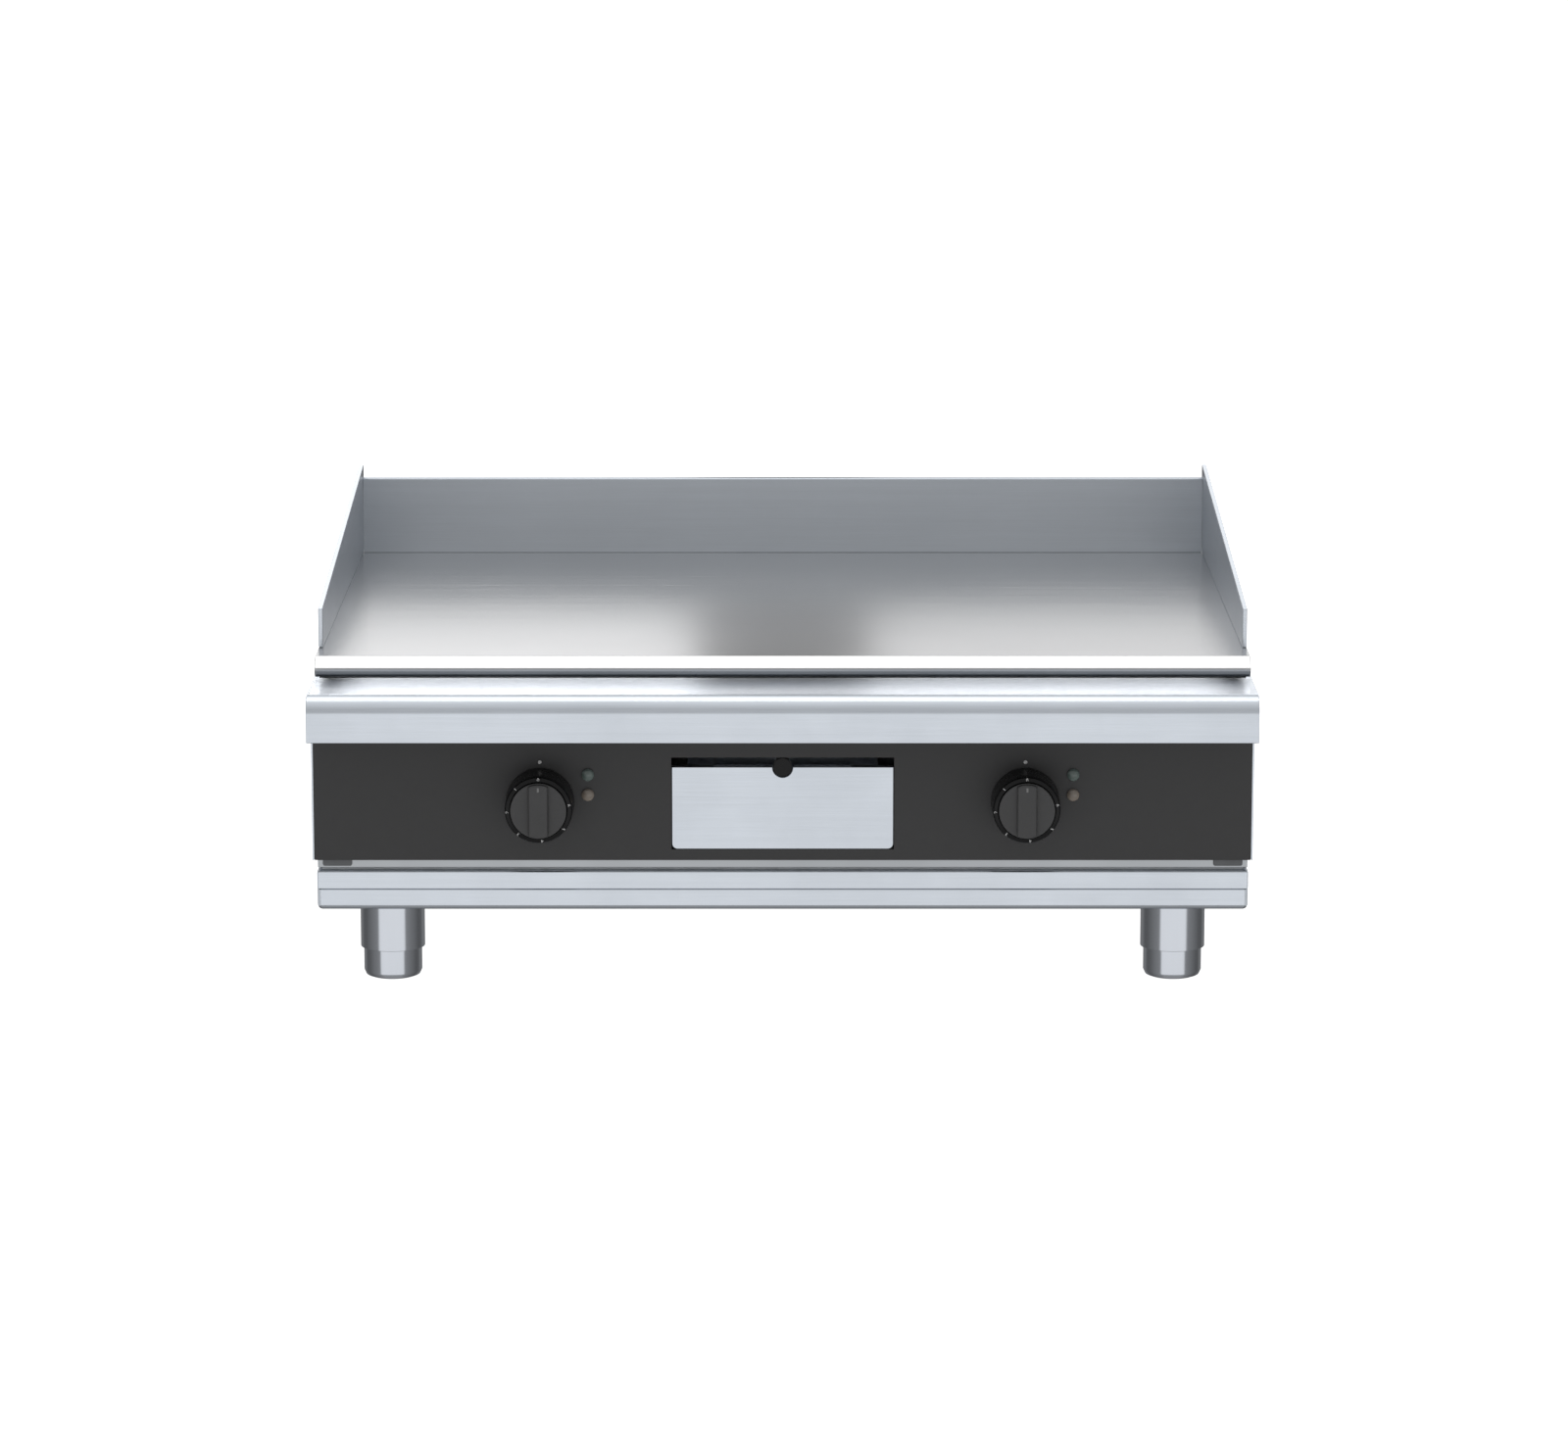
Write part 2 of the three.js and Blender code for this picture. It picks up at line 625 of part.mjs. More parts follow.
// A route through points, which a tube follows straight from each point to the next.
class Route extends THREE.Curve {
  constructor(points) {
    super();
    this.points = points.map((p) => new THREE.Vector3(...p));
  }
  get spans() {
    return this.points.length - 1;
  }
  getPoint(t) {
    const at = Math.min(Math.max(t, 0), 1) * this.spans;
    const i = Math.min(Math.floor(at), this.spans - 1);
    return this.points[i].clone().lerp(this.points[i + 1], at - i);
  }
  getPointAt(u) {
    return this.getPoint(u);
  }
  getTangentAt(u) {
    return this.getTangent(u);
  }
}

function tube(points, radius, sides) {
  const path = new Route(points);
  const section = new THREE.Shape();
  section.absarc(0, 0, radius, 0, 2 * Math.PI, false);
  const curveSegments = sides / 2; // three.js doubles it on an arc
  const options = { extrudePath: path, steps: path.spans, curveSegments, bevelEnabled: false };
  return solid(new THREE.ExtrudeGeometry(section, options));
}

const BULB = { radius: 3.2, from: -200, to: -80, z: 287.4 };

// The sensing line: out of the thermostat, up past the front of the heat shield, to a bulb under the plate.
function capillary(side) {
  const x = side * KNOB_X;
  const bulbX = side * 215;
  const line = tube(
    [
      [x, PANEL_BACK + 38.8, 192], [x, -300, 193], [x, -288, 198], [x, -276, 210], [x, -268, 228],
      [side * 226, -264, 248], [side * 220, -262, 264], [bulbX, -258, 277], [bulbX, -248, 284.5],
      [bulbX, -236, BULB.z], [bulbX, BULB.from + 5, BULB.z],
    ],
    1.4,
    6,
  );
  return join(line, cylinder("y", BULB.radius, BULB.from, BULB.to, [bulbX, 0, BULB.z], 12));
}

eachSide((name, side) => {
  const place = [side * KNOB_X, PANEL_FACE, KNOB_Z];
  add(`${name}_knob`, knob(), BLACK_PLASTIC, place);
  add(`${name}_dial_ring`, dialRing(), BLACK_PLASTIC, place);
  add(`${name}_spindle`, cylinder("y", SPINDLE_RADIUS, -28, 13, [0, 0, 0], 16), ZINC, place);
  add(`${name}_thermostat`, thermostat(), CREAM_PLASTIC, place);
  add(`${name}_capillary`, capillary(side), COPPER);
  for (const [use, z] of Object.entries(LAMP_HEIGHTS)) {
    const lens = use === "power" ? GREEN_LENS : AMBER_LENS;
    add(`${name}_${use}_lamp`, lamp(), lens, [side * KNOB_X + LAMP_OFFSET, PANEL_FACE, z]);
  }
});

// ---------------------------------------------------------------- heating

const ELEMENT_RADIUS = 4.25;
const ELEMENT_Z = PLATE_BOTTOM - 0.6 - ELEMENT_RADIUS;
const RUNS = { count: 6, first: 65, pitch: 60, front: -225, rear: 245, end: -262 };

// Six runs under one half of the plate, joined by half-circle bends, with both ends at the front.
function element(side) {
  const points = [];
  for (let i = 0; i < RUNS.count; i += 1) {
    const x = RUNS.first + RUNS.pitch * i;
    const away = i % 2 === 0;
    const start = i === 0 ? RUNS.end : RUNS.front;
    const finish = i === RUNS.count - 1 ? RUNS.end : RUNS.front;
    points.push(away ? [x, start] : [x, RUNS.rear], away ? [x, RUNS.rear] : [x, finish]);
    if (i === RUNS.count - 1) break;
    for (let step = 1; step < 6; step += 1) {
      const angle = (Math.PI * step) / 6;
      const reach = (RUNS.pitch / 2) * Math.sin(angle);
      const along = away ? RUNS.rear + reach : RUNS.front - reach;
      points.push([x + (RUNS.pitch / 2) * (1 - Math.cos(angle)), along]);
    }
  }
  return tube(points.map(([x, y]) => [side * x, y, ELEMENT_Z]), ELEMENT_RADIUS, 8);
}

// Two cross bars on a spine, with studs that reach up between the runs to the plate.
function elementClamp(side) {
  const top = ELEMENT_Z - ELEMENT_RADIUS - GAP;
  const z = [top - 4, top];
  const stud = (x, y) => cylinder("z", 4, z[0], PLATE_BOTTOM - GAP, [side * x, y, 0], 12);
  const bars = [-120, 140].flatMap((y) => [
    box([side * 40, side * 390], [y - 12, y + 12], z),
    ...[95, 335].map((x) => stud(x, y)),
  ]);
  return join(box([side * 205, side * 225], [-120, 140], z), ...bars);
}

const SHIELD = { half: 397.7, front: -251.8, rear: 293.8, bottom: 249, top: 276 };

// A tray under the blanket, hung from the chassis walls' flanges by its side rims.
function heatShield() {
  const rimTop = DECK_TOP - SHEET - GAP - 2 - GAP;
  const wall = SIDE_SHEET;
  const sides = Object.values(SIDES).map((side) => join(
    box([side * (SHIELD.half - wall), side * SHIELD.half], [SHIELD.front, SHIELD.rear], [SHIELD.bottom, rimTop]),
    box([side * (SHIELD.half - wall), side * 428], [SHIELD.front, SHIELD.rear], [rimTop - wall, rimTop]),
  ));
  const pan = tray(
    [-SHIELD.half, SHIELD.half], [SHIELD.front, SHIELD.rear], [SHIELD.bottom, SHIELD.top], wall,
  );
  return join(pan, ...sides);
}

function insulationBlanket() {
  const inset = SIDE_SHEET + 0.6;
  return box(
    [-SHIELD.half + inset, SHIELD.half - inset],
    [SHIELD.front + inset, SHIELD.rear - inset],
    [SHIELD.bottom + SIDE_SHEET + GAP, SHIELD.top + 1],
  );
}

eachSide((name, side) => {
  add(`${name}_element`, element(side), ELEMENT);
  add(`${name}_element_clamp`, elementClamp(side), ZINC);
});
add("insulation_blanket", insulationBlanket(), BLANKET);
add("heat_shield", heatShield(), ZINC);

// ---------------------------------------------------------------- wiring compartment

// A contactor: a stepped body on a rail foot, with three terminals on each side.
function contactor() {
  const body = join(
    box([-23, 23], [-38, 38], [0, 50]),
    box([-20, 20], [-24, 24], [50, 74]),
  );
  const terminals = [-15, 0, 15].flatMap((x) =>
    [-1, 1].map((end) => box([x - 4, x + 4], [end * 28, end * 36], [50, 56])),
  );
  return join(body, ...terminals);
}

function terminalBlock() {
  const base = box([-40, 40], [-14, 14], [0, 16]);
  const barriers = [-36, -21.6, -7.2, 7.2, 21.6, 36].map((x) => box([x - 1.5, x + 1.5], [-14, 14], [16, 28]));
  return join(base, ...barriers);
}

// The supply inlet: a threaded body through the rear panel, with its nuts and an open bore.
function cableGland() {
  const at = [0, 0, 0];
  const body = join(
    cylinder("y", 10, -8, 12, at, 24),
    cylinder("y", 14.5, GAP, 8, at, 6),
    cylinder("y", 12.5, 8, 22, at, 24),
    cylinder("y", 14.5, -SHEET - GAP - 4, -SHEET - GAP, at, 6),
  );
  return cut(body, cylinder("y", 6.5, -20, 40, at, 24));
}

function equipotentialStud() {
  const at = [0, 0, 0];
  return join(
    cylinder("y", 3, -10, 17, at, 12),
    cylinder("y", 5.8, GAP, 5, at, 6),
    cylinder("y", 5.8, 8, 13, at, 6),
    cylinder("y", 5.8, -SHEET - GAP - 5, -SHEET - GAP, at, 6),
  );
}

// The manual-reset safety thermostat, with the bore that its button travels in.
function overtemperatureCutout() {
  const front = -SHEET - GAP;
  return cut(
    join(
      box([-18, 18], [front - 24, front], [-16, 16]),
      box([-13, -8], [front - 32, front - 24], [-4, 4]),
      box([8, 13], [front - 32, front - 24], [-4, 4]),
    ),
    cylinder("y", 4 + GAP, front - 12, front + 5, [0, 0, 0], 16),
  );
}

const onRear = (place) => [place.x, REAR_PANEL_FACE, place.z];

add("left_contactor", contactor(), CREAM_PLASTIC, [-200, 300, FLOOR_TOP]);
add("right_contactor", contactor(), CREAM_PLASTIC, [-120, 300, FLOOR_TOP]);
add("terminal_block", terminalBlock(), CREAM_PLASTIC, [330, 300, FLOOR_TOP]);
add("cable_gland", cableGland(), BLACK_PLASTIC, onRear(GLAND));
add("equipotential_stud", equipotentialStud(), ZINC, onRear(EARTH_STUD));
add("overtemperature_cutout", overtemperatureCutout(), CREAM_PLASTIC, onRear(CUTOUT));
add("reset_button", cylinder("y", 4, -10, 4, [0, 0, 0], 16), RED_PLASTIC, onRear(CUTOUT));

export default griddle;
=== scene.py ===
"""The looks of a 900 mm electric bench griddle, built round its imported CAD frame. Units are metres."""

import json
import math

import bmesh
import bpy
from mathutils import Matrix, Vector

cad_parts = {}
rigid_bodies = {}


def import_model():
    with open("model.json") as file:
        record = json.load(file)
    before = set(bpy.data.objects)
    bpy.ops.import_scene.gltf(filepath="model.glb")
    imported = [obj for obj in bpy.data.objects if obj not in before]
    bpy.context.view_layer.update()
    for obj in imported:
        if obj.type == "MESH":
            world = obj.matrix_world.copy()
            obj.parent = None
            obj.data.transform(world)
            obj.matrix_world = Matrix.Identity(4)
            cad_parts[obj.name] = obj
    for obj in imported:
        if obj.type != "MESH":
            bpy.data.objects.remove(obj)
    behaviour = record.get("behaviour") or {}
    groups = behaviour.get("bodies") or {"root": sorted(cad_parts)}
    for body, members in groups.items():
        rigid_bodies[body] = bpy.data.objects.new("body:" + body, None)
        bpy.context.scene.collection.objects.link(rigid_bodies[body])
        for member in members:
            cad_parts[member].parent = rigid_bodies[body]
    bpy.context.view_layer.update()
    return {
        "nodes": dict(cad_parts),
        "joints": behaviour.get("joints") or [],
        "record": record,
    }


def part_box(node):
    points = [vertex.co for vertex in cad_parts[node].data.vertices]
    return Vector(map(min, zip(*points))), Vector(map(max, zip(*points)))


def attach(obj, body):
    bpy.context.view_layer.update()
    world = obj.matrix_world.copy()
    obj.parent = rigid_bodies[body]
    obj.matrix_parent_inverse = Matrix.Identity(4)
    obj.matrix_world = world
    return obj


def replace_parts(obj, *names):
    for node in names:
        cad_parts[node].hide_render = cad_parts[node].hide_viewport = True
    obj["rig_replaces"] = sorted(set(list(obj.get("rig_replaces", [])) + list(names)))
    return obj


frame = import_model()

MM = 0.001
SHEET = 1.5  # stainless sheet, in millimetres
GAP = 0.3  # clearance between pieces that touch, in millimetres
SIDES = {"left": -1, "right": 1}
CORNERS = ("front_left", "front_right", "rear_left", "rear_right")
BODY_OF = {
    node: body
    for body, nodes in frame["record"]["behaviour"]["bodies"].items()
    for node in nodes
}
SLOT_OF = {row["node"]: row["material_slot"] for row in frame["record"]["subparts"]}

scene = bpy.context.scene
scene.view_settings.view_transform = "Standard"

# ---------------------------------------------------------------- node materials


class Nodes:
    """A material's node tree, with short calls that add and link its nodes."""

    def __init__(self, tree):
        self.tree = tree

    def add(self, kind, inputs=None, **settings):
        node = self.tree.nodes.new(kind)
        for key, value in settings.items():
            setattr(node, key, value)
        for key, value in (inputs or {}).items():
            self.put(value, node.inputs[key])
        return node

    def put(self, value, socket):
        if isinstance(value, bpy.types.NodeSocket):
            self.tree.links.new(value, socket)
        else:
            socket.default_value = value

    def math(self, operation, a, b=0.0):
        return self.add("ShaderNodeMath", {0: a, 1: b}, operation=operation).outputs[0]

    def ramp(self, value, low, high, out_low=0.0, out_high=1.0, smooth=False):
        """A value carried from one range to another, and clamped."""
        node = self.add(
            "ShaderNodeMapRange",
            {"Value": value, "From Min": low, "From Max": high, "To Min": out_low, "To Max": out_high},
            interpolation_type="SMOOTHSTEP" if smooth else "LINEAR",
        )
        return node.outputs["Result"]

    def mix(self, factor, a, b, blend="MIX"):
        """Two colours mixed. Sockets 6 and 7 and output 2 are the node's colour ones."""
        node = self.add("ShaderNodeMix", data_type="RGBA", blend_type=blend)
        self.put(factor, node.inputs["Factor"])
        self.put(a, node.inputs[6])
        self.put(b, node.inputs[7])
        return node.outputs[2]

    def noise(self, place, scale, detail, roughness, stretch=(1, 1, 1)):
        """Noise of so many waves to the metre, stretched on each axis."""
        mapped = self.add("ShaderNodeMapping", {"Vector": place, "Scale": stretch})
        node = self.add(
            "ShaderNodeTexNoise",
            {"Vector": mapped.outputs[0], "Scale": scale, "Detail": detail, "Roughness": roughness},
        )
        return node.outputs["Fac"]


def principled(name, colour, roughness, metallic=0.0, **sockets):
    """A new material: its node helper, its shader and the object's own coordinates."""
    material = bpy.data.materials.new(name)
    material.use_nodes = True
    material.node_tree.nodes.clear()
    n = Nodes(material.node_tree)
    shader = n.add("ShaderNodeBsdfPrincipled")
    output = n.add("ShaderNodeOutputMaterial")
    n.tree.links.new(shader.outputs[0], output.inputs[0])
    shader.inputs["Base Color"].default_value = (*colour, 1)
    shader.inputs["Roughness"].default_value = roughness
    shader.inputs["Metallic"].default_value = metallic
    for key, value in sockets.items():
        shader.inputs[key.replace("_", " ")].default_value = value
    place = n.add("ShaderNodeTexCoord").outputs["Object"]
    return material, n, shader, place


# the scale of the noise on each axis, small along the grain
GRAIN = {"x": (0.012, 1, 1), "y": (1, 0.012, 1), "z": (1, 1, 0.012), "none": (1, 1, 1)}


def steel(name, colour, roughness, grain="x", depth=0.05, streak=0.06, smudge=0.05, ripple=0.05):
    """Brushed sheet: hair-fine lines along one axis, broader streaks, and a film of smudges."""
    material, n, shader, place = principled(name, colour, roughness, 1.0)
    hair = n.noise(place, 1500, 2.0, 0.6, GRAIN[grain])
    band = n.noise(place, 150, 3.0, 0.6, GRAIN[grain])
    film = n.noise(place, 7, 4.0, 0.6)
    wave = n.noise(place, 1.6, 1.0, 0.5)
    lines = n.math("ADD", n.math("MULTIPLY", hair, 0.5), n.math("MULTIPLY", band, 0.5))
    tone = n.ramp(lines, 0.3, 0.7, 1 - streak, 1 + streak)
    shade = n.math("MULTIPLY", tone, n.ramp(film, 0.35, 0.7, 1.0, 1 - smudge))
    gray = n.add("ShaderNodeCombineColor", {"Red": shade, "Green": shade, "Blue": shade})
    n.put(n.mix(1.0, (*colour, 1), gray.outputs[0], "MULTIPLY"), shader.inputs["Base Color"])
    spread = n.ramp(lines, 0.3, 0.7, roughness * 0.86, roughness * 1.14)
    n.put(n.math("ADD", spread, n.ramp(film, 0.4, 0.75, 0.0, smudge)), shader.inputs["Roughness"])
    grooves = n.add("ShaderNodeBump", {"Strength": depth, "Distance": 0.0002, "Height": lines})
    sheet = n.add(
        "ShaderNodeBump",
        {"Strength": ripple, "Distance": 0.004, "Height": wave, "Normal": grooves.outputs[0]},
    )
    n.put(sheet.outputs[0], shader.inputs["Normal"])
    return material


def moulded(name, colour, roughness, pit=0.12, scale=1400, **sockets):
    """Moulded plastic: a fine spark-eroded texture, and a slight mottle of colour."""
    material, n, shader, place = principled(name, colour, roughness, 0.0, **sockets)
    grit = n.noise(place, scale, 2.0, 0.5)
    mottle = n.noise(place, 60, 3.0, 0.6)
    shade = n.ramp(mottle, 0.3, 0.7, 0.9, 1.1)
    gray = n.add("ShaderNodeCombineColor", {"Red": shade, "Green": shade, "Blue": shade})
    n.put(n.mix(1.0, (*colour, 1), gray.outputs[0], "MULTIPLY"), shader.inputs["Base Color"])
    n.put(n.ramp(mottle, 0.3, 0.7, roughness * 0.88, roughness * 1.12), shader.inputs["Roughness"])
    bump = n.add("ShaderNodeBump", {"Strength": pit, "Distance": 0.0002, "Height": grit})
    n.put(bump.outputs[0], shader.inputs["Normal"])
    return material


MATERIALS = {
    "stainless": steel("brushed_stainless", (0.755, 0.805, 0.872), 0.2, "x"),
    "stainless_side": steel("brushed_stainless_sides", (0.755, 0.805, 0.872), 0.24, "y"),
    # darker stainless: painted shade on the chassis pan, which sits back under the control panel, and
    # dull steel on the louvre hoods
    "dull_and_shaded_stainless": steel("dull_stainless_and_painted_pan_shade", (0.54, 0.565, 0.59), 0.3, "x"),
    "turned": steel("turned_stainless", (0.735, 0.77, 0.83), 0.15, "z", 0.02, 0.03, 0.02),
    # painted shade: a darker copy of the same stainless, for the splashback
    "guard_steel": steel(
        "splashback_stainless_painted_shade", (0.585, 0.625, 0.675), 0.34, "x", 0.03, 0.04, 0.03, 0.0
    ),
    "plate_steel": steel("ground_plate", (0.66, 0.66, 0.665), 0.235, "x", 0.025, 0.03, 0.02, 0.0),
    # painted shade: a still darker copy of the same stainless, for the side faces of the splash guards
    "guard_side_shade": steel(
        "side_guard_stainless_painted_shade", (0.48, 0.51, 0.55), 0.34, "y", 0.03, 0.04, 0.03, 0.0
    ),
    # partly painted shade: dark steel for the plate's faces turned downward, the lower round of its nose
    # among them, which is also the unground underside; the splashback's weld takes it too
    "dark_steel_and_nose_shade": steel(
        "unground_steel_and_painted_nose_shade", (0.29, 0.3, 0.315), 0.3, "none", 0.06, 0.08, 0.05, 0.0
    ),
    "gasket": moulded("grey_gasket", (0.44, 0.46, 0.48), 0.55, 0.1),
    "hook": moulded("grey_tab", (0.085, 0.09, 0.095), 0.5, 0.1),
    "zinc_steel": steel("zinc_plate", (0.62, 0.64, 0.66), 0.38, "none", 0.08, 0.1, 0.08),
    "element_sheath": steel("heated_sheath", (0.20, 0.185, 0.17), 0.5, "none", 0.1, 0.2, 0.1),
    "copper": steel("drawn_copper", (0.72, 0.45, 0.28), 0.3, "none"),
    "enamel": moulded("charcoal_enamel", (0.0265, 0.0265, 0.0275), 0.5, 0.05, 700),
    "black_plastic": moulded("black_phenolic", (0.005, 0.005, 0.0055), 0.28, Specular_IOR_Level=0.25),
    "knob_face": moulded("satin_phenolic", (0.034, 0.034, 0.035), 0.4),
    "marking": moulded("pad_printed_white", (0.50, 0.50, 0.50), 0.5, 0.02),
    # partly painted highlight: the pointer's grey is set as bright as the soft spot at the grip's top end
    "pointer": moulded("pointer_paint_and_painted_highlight", (0.14, 0.14, 0.14), 0.5, 0.02),
    "cream_plastic": moulded("cream_thermoset", (0.66, 0.61, 0.52), 0.45),
    "red_plastic": moulded("red_moulding", (0.45, 0.02, 0.015), 0.3),
    "green_lens": moulded("green_lamp_lens", (0.072, 0.094, 0.087), 0.2, 0.02, Coat_Weight=0.5),
    "amber_lens": moulded("amber_lamp_lens", (0.142, 0.121, 0.101), 0.2, 0.02, Coat_Weight=0.5),
    # dark grey, partly painted shade: the bead under the plate's nose, and the flat crosses on the screw
    # heads that stand for their drive hollows
    "seal_and_shade": moulded("silicone_seal_and_painted_shade", (0.06, 0.062, 0.065), 0.55, 0.05),
    "ceramic_fibre": moulded("ceramic_fibre", (0.80, 0.77, 0.70), 0.95, 0.6, 300),
}

# ---------------------------------------------------------------- meshes


def mesh_object(name, bm):
    bmesh.ops.recalc_face_normals(bm, faces=bm.faces)
    mesh = bpy.data.meshes.new(name)
    bm.to_mesh(mesh)
    bm.free()
    obj = bpy.data.objects.new(name, mesh)
    scene.collection.objects.link(obj)
    return obj


def soften(obj, width, segments=3, angle=32):
    """Rounds the object's sharp edges, and keeps its flat faces flat in the shading."""
    obj.data.shade_smooth()
    if width:
        bevel = obj.modifiers.new("rounded_edges", "BEVEL")
        bevel.width = width * MM
        bevel.segments = segments
        bevel.limit_method = "ANGLE"
        bevel.angle_limit = math.radians(angle)
    weighted = obj.modifiers.new("flat_faces", "WEIGHTED_NORMAL")
    weighted.mode = "FACE_AREA"
    weighted.weight = 100
    return obj


def edges_extruded(bm, edges):
    """Extrudes an open loop of edges in place, and gives the new loop."""
    made = bmesh.ops.extrude_edge_only(bm, edges=edges)["geom"]
    return [e for e in made if isinstance(e, bmesh.types.BMEdge) and len(e.link_faces) == 1]


def sheet_pan(name, x_half, y_span, z_span, bend, open_top=True, rim=None):
    """A pan of sheet, or a cover when its open side is below, with its bends rounded. Millimetres.

    rim is how far the wall steps in at its open edge, and how high it stands from there."""
    bm = bmesh.new()
    size = (2 * x_half, y_span[1] - y_span[0], z_span[1] - z_span[0])
    middle = (0, sum(y_span) / 2, sum(z_span) / 2)
    bmesh.ops.create_cube(bm, size=1)
    bmesh.ops.scale(bm, vec=[v * MM for v in size], verts=bm.verts)
    bmesh.ops.translate(bm, vec=[v * MM for v in middle], verts=bm.verts)
    open_z = (z_span[1] if open_top else z_span[0]) * MM
    lid = [f for f in bm.faces if all(abs(v.co.z - open_z) < 1e-6 for v in f.verts)]
    bmesh.ops.delete(bm, geom=lid, context="FACES_ONLY")
    bends = [e for e in bm.edges if len(e.link_faces) == 2]
    bmesh.ops.bevel(bm, geom=bends, offset=bend * MM, segments=6, profile=0.5, affect="EDGES")
    if rim:
        lip = [e for e in bm.edges if len(e.link_faces) == 1]
        step_in = edges_extruded(bm, lip)
        for vert in {v for e in step_in for v in e.verts}:
            vert.co.x -= math.copysign(rim[0] * MM, vert.co.x)
            vert.co.y -= math.copysign(rim[0] * MM, vert.co.y - middle[1] * MM)
        for vert in {v for e in edges_extruded(bm, step_in) for v in e.verts}:
            vert.co.z += rim[1] * MM
        bmesh.ops.bevel(bm, geom=lip, offset=1.4 * MM, segments=4, profile=0.5, affect="EDGES")
    obj = mesh_object(name, bm)
    obj.data.shade_smooth()
    thick = obj.modifiers.new("sheet", "SOLIDIFY")
    thick.thickness = SHEET * MM
    thick.offset = -1
    thick.use_even_offset = True
    return soften(obj, 0.3, 2, 50)


def place_piece(obj, material, body, *nodes, slot=None):
    """Gives a piece its material and its body, and the CAD nodes that it stands for."""
    obj.data.materials.clear()
    obj.data.materials.append(MATERIALS[material])
    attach(obj, body)
    if nodes:
        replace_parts(obj, *nodes)
    return obj


def refine(node, width, material=None, segments=3, edges=None):
    """A CAD node's shape with its flat faces whole, its edges rounded and its curves smooth.

    edges names a second material, and tells from a face's normal whether the face takes it, so that faces
    get a tone by the way they point, which paints light and shade on them."""
    bm = bmesh.new()
    bm.from_mesh(frame["nodes"][node].data)
    bmesh.ops.remove_doubles(bm, verts=bm.verts, dist=1e-5)
    bmesh.ops.dissolve_limit(
        bm, angle_limit=math.radians(1), verts=bm.verts, edges=bm.edges, delimit=set()
    )
    obj = soften(mesh_object(node + "_finish", bm), width, segments)
    place_piece(obj, material or SLOT_OF[node], BODY_OF[node], node)
    if edges:
        obj.data.materials.append(MATERIALS[edges[0]])
        for face in obj.data.polygons:
            face.material_index = int(edges[1](face.normal))
    return obj


def lathe(name, profile, centre, axis="z", segments=96, width=0.0):
    """A profile of (radius, height) in millimetres, turned about an axis through centre."""
    bm = bmesh.new()
    rings = []
    for radius, height in profile:
        if radius < 1e-6:
            rings.append([bm.verts.new((0, 0, height * MM))])
            continue
        ring = []
        for i in range(segments):
            angle = 2 * math.pi * i / segments
            x, y = radius * MM * math.cos(angle), radius * MM * math.sin(angle)
            ring.append(bm.verts.new((x, y, height * MM)))
        rings.append(ring)
    for low, high in zip(rings, rings[1:]):
        for i in range(segments):
            j = (i + 1) % segments
            if len(low) == 1 and len(high) == 1:
                break
            if len(low) == 1:
                bm.faces.new((low[0], high[i], high[j]))
            elif len(high) == 1:
                bm.faces.new((low[i], low[j], high[0]))
            else:
                bm.faces.new((low[i], low[j], high[j], high[i]))
    obj = soften(mesh_object(name, bm), width)
    turn = {
        "z": Matrix.Identity(4),
        "front": Matrix.Rotation(math.radians(90), 4, "X"),
        "back": Matrix.Rotation(math.radians(-90), 4, "X"),
    }[axis]
    obj.data.transform(turn)
    obj.location = centre
    return obj


def prism(name, outline, low, high, axis, centre=(0, 0, 0), width=0.0, segments=3):
    """A closed outline in millimetres, extruded between two values on an axis."""
    put = {
        "x": lambda a, b, c: (c, a, b),
        "y": lambda a, b, c: (a, c, b),
        "z": lambda a, b, c: (a, b, c),
    }[axis]
    bm = bmesh.new()
    ends = [
        [bm.verts.new([v * MM for v in put(a, b, at)]) for a, b in outline]
        for at in (low, high)
    ]
    count = len(outline)
    bm.faces.new(ends[0])
    bm.faces.new(ends[1])
    for i in range(count):
        j = (i + 1) % count
        bm.faces.new((ends[0][i], ends[0][j], ends[1][j], ends[1][i]))
    obj = soften(mesh_object(name, bm), width, segments)
    obj.location = centre
    return obj


def arc(centre, radius, start, end, steps):
    """Points of an arc in millimetres, between two angles in degrees."""
    angles = [math.radians(start + (end - start) * i / steps) for i in range(steps + 1)]
    return [(centre[0] + radius * math.cos(a), centre[1] + radius * math.sin(a)) for a in angles]


def joined(name, parts):
    """One object made of the meshes of several, with their modifiers applied."""
    bpy.context.view_layer.update()
    graph = bpy.context.evaluated_depsgraph_get()
    bm = bmesh.new()
    for part in parts:
        mesh = bpy.data.meshes.new_from_object(part.evaluated_get(graph))
        mesh.transform(part.matrix_world)
        bm.from_mesh(mesh)
        bpy.data.meshes.remove(mesh)
    for part in parts:
        bpy.data.objects.remove(part)
    mesh = bpy.data.meshes.new(name)
    bm.to_mesh(mesh)
    bm.free()
    obj = bpy.data.objects.new(name, mesh)
    scene.collection.objects.link(obj)
    return obj


# ---------------------------------------------------------------- hob, plate and guards


